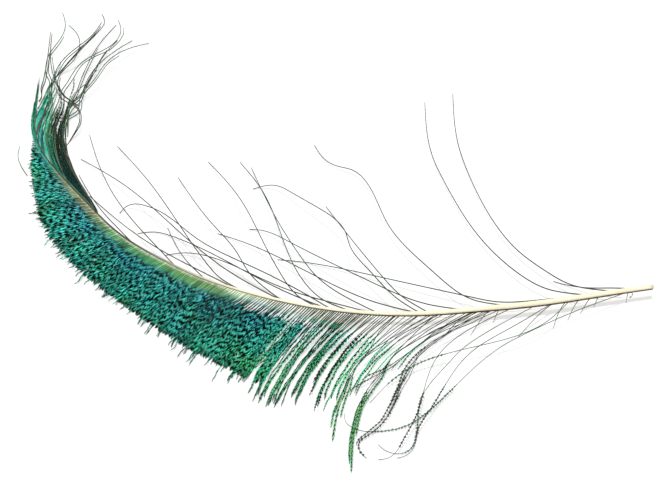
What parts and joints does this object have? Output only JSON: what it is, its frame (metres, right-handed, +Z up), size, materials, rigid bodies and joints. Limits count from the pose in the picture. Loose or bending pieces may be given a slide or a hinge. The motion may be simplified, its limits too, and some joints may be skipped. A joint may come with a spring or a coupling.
{
  "type": "peacock feather",
  "caption": "Curved peacock side-tail feather lying flat: cream quill, dense iridescent green-blue outer vane, fine tuft at the tip and long loose barbs.",
  "frame": {"origin": "centre of the feather's bounding box, on the surface that it lies on", "axes": "+X from the tip towards the cut quill, +Y from the dense vane's side to the loose barbs' side, +Z up from the surface"},
  "size_m": [0.3824, 0.319, 0.013],
  "materials": {
    "shaft": "smooth horn-like keratin, cream with a brown underside",
    "vane": "iridescent barbs, green to blue by angle, near black in the gaps",
    "barb": "fine dark olive barbs with a faint green glint"
  },
  "bodies": {
    "root": {"shaft": "shaft", "outer_vane": "vane", "tip_vane": "vane", "upper_barb_01": "barb", "upper_barb_02": "barb", "upper_barb_03": "barb", "upper_barb_04": "barb", "upper_barb_05": "barb", "upper_barb_06": "barb", "upper_barb_07": "barb", "upper_barb_08": "barb", "upper_barb_09": "barb", "upper_barb_10": "barb", "upper_barb_11": "barb", "upper_barb_12": "barb", "upper_barb_13": "barb", "upper_barb_14": "barb", "upper_barb_15": "barb", "upper_barb_16": "barb", "upper_barb_17": "barb", "upper_barb_18": "barb", "upper_barb_19": "barb", "upper_barb_20": "barb", "upper_barb_21": "barb", "upper_barb_22": "barb", "lower_barb_01": "barb", "lower_barb_02": "barb", "lower_barb_03": "barb", "lower_barb_04": "barb", "lower_barb_05": "barb", "tuft_strand_01": "barb", "tuft_strand_02": "barb", "tuft_strand_03": "barb", "tuft_strand_04": "barb", "tuft_strand_05": "barb", "tuft_strand_06": "barb", "tuft_strand_07": "barb", "tuft_strand_08": "barb", "tuft_strand_09": "barb", "tuft_strand_10": "barb", "tuft_strand_11": "barb", "tuft_strand_12": "barb", "tuft_strand_13": "barb", "stray_barb": "barb", "vane_strand_01": "vane", "vane_strand_02": "vane", "vane_strand_03": "vane", "vane_strand_04": "vane", "vane_strand_05": "vane"}
  },
  "joints": []
}
